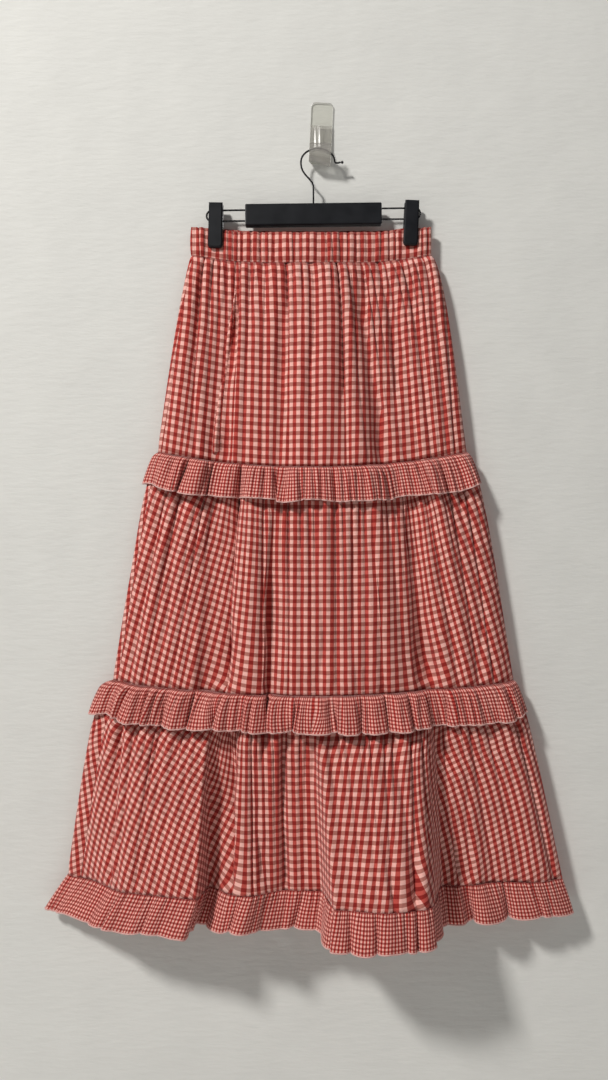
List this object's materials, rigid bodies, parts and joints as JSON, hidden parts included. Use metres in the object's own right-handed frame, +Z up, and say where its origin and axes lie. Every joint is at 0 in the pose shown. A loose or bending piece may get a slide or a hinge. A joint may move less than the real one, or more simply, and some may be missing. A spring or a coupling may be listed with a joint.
{
  "type": "tiered ruffle skirt on a clip hanger and wall hook",
  "caption": "Long three-tier skirt in red and white gingham with three narrow ruffles, clipped to a black hanger on a clear wall hook.",
  "frame": {"origin": "middle of the wall hook plate's back face, on the wall", "axes": "+Z up, +Y into the wall, +X to the right of someone facing the skirt's front"},
  "size_m": [0.681, 0.1332, 1.0613],
  "materials": {
    "gingham_large": "plain woven cotton gingham, 5.2 mm checks, red and white",
    "gingham_small": "plain woven cotton gingham, 2 mm checks, red and white",
    "black_plastic": "satin moulded plastic",
    "black_wire": "black painted steel wire",
    "clear_plastic": "clear moulded plastic, frosted in the trough"
  },
  "bodies": {
    "root": {"waistband_front": "gingham_large", "waistband_back": "gingham_large", "tier_1_front": "gingham_large", "tier_1_back": "gingham_large", "tier_2_front": "gingham_large", "tier_2_back": "gingham_large", "tier_3_front": "gingham_large", "tier_3_back": "gingham_large", "ruffle_1_front": "gingham_small", "ruffle_1_back": "gingham_small", "ruffle_2_front": "gingham_small", "ruffle_2_back": "gingham_small", "ruffle_hem_front": "gingham_small", "ruffle_hem_back": "gingham_small", "hanger_bar": "black_plastic", "clip_left_core": "black_plastic", "clip_left_jaw_front": "black_plastic", "clip_left_jaw_back": "black_plastic", "clip_right_core": "black_plastic", "clip_right_jaw_front": "black_plastic", "clip_right_jaw_back": "black_plastic", "hanger_hook": "black_wire", "hanger_hook_tip": "black_wire", "hanger_rod_left": "black_wire", "hanger_rod_right": "black_wire", "wall_hook_plate": "clear_plastic", "wall_hook_trough": "clear_plastic"}
  },
  "joints": []
}
